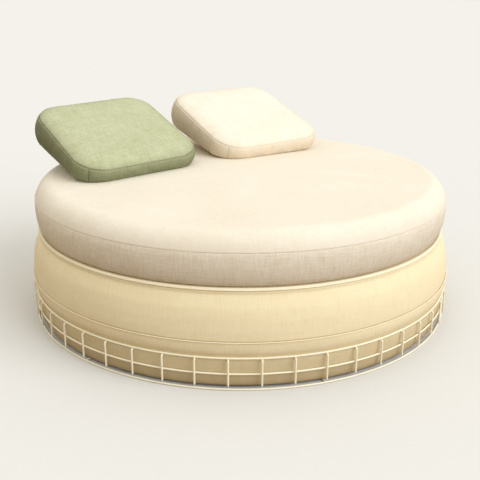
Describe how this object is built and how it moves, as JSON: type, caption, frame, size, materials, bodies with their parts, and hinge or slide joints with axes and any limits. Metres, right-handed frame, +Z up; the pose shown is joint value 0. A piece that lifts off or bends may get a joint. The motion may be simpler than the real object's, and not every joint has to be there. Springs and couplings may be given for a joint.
{
  "type": "round bed",
  "caption": "Round bed: padded drum in a low welded wire basket, loose round mattress with rounded edges, loose wedge cushions.",
  "frame": {"origin": "On the floor under the centre of the round bed, at the bottom of its bounding box", "axes": "+Z up; +Y towards the head of the bed, where the cushions lie; +X to the right of someone looking from the foot to the head"},
  "size_m": [2.0258, 2.0258, 0.9166],
  "materials": {
    "cream_wire": "satin",
    "plywood": "satin",
    "dust_cloth": "matte",
    "drum_linen": "matte",
    "drum_trim": "matte",
    "deck_cloth": "matte",
    "mattress_foam": "matte",
    "mattress_linen": "matte",
    "green_linen": "matte",
    "cushion_filling": "matte"
  },
  "bodies": {
    "base": {"bottom_ring": "cream_wire", "middle_ring": "cream_wire", "top_ring": "cream_wire", "inner_ring": "cream_wire", "spoke_1": "cream_wire", "spoke_2": "cream_wire", "spoke_3": "cream_wire", "spoke_4": "cream_wire", "spoke_5": "cream_wire", "spoke_6": "cream_wire", "tie_1": "cream_wire", "tie_2": "cream_wire", "tie_3": "cream_wire", "tie_4": "cream_wire", "tie_5": "cream_wire", "tie_6": "cream_wire", "uprights_1": "cream_wire", "uprights_2": "cream_wire", "uprights_3": "cream_wire", "uprights_4": "cream_wire", "uprights_5": "cream_wire", "uprights_6": "cream_wire", "uprights_7": "cream_wire", "uprights_8": "cream_wire", "dust_cover": "dust_cloth", "base_panel": "plywood", "wall_frame": "plywood", "long_rib": "plywood", "head_rib": "plywood", "foot_rib": "plywood", "deck_panel": "plywood", "lower_cover": "drum_linen", "upper_cover": "drum_linen", "base_welt": "drum_trim", "rim_piping": "drum_trim", "deck_cover": "deck_cloth"},
    "mattress": {"mattress_underside": "deck_cloth", "mattress_core": "mattress_foam", "mattress_side": "mattress_linen", "mattress_top": "mattress_linen"},
    "green_cushion": {"green_filling": "cushion_filling", "green_band": "green_linen", "green_top": "green_linen", "green_underside": "green_linen"},
    "white_cushion": {"white_filling": "cushion_filling", "white_band": "mattress_linen", "white_top": "mattress_linen", "white_underside": "mattress_linen"}
  },
  "joints": [
    {"name": "mattress_lift", "type": "slide", "parent": "base", "child": "mattress", "axis": [0, 0, 1], "range_m": [0, 0.4]},
    {"name": "green_lift", "type": "slide", "parent": "mattress", "child": "green_cushion", "axis": [0, 0, 1], "range_m": [0, 0.4]},
    {"name": "white_lift", "type": "slide", "parent": "mattress", "child": "white_cushion", "axis": [0, 0, 1], "range_m": [0, 0.4]}
  ]
}
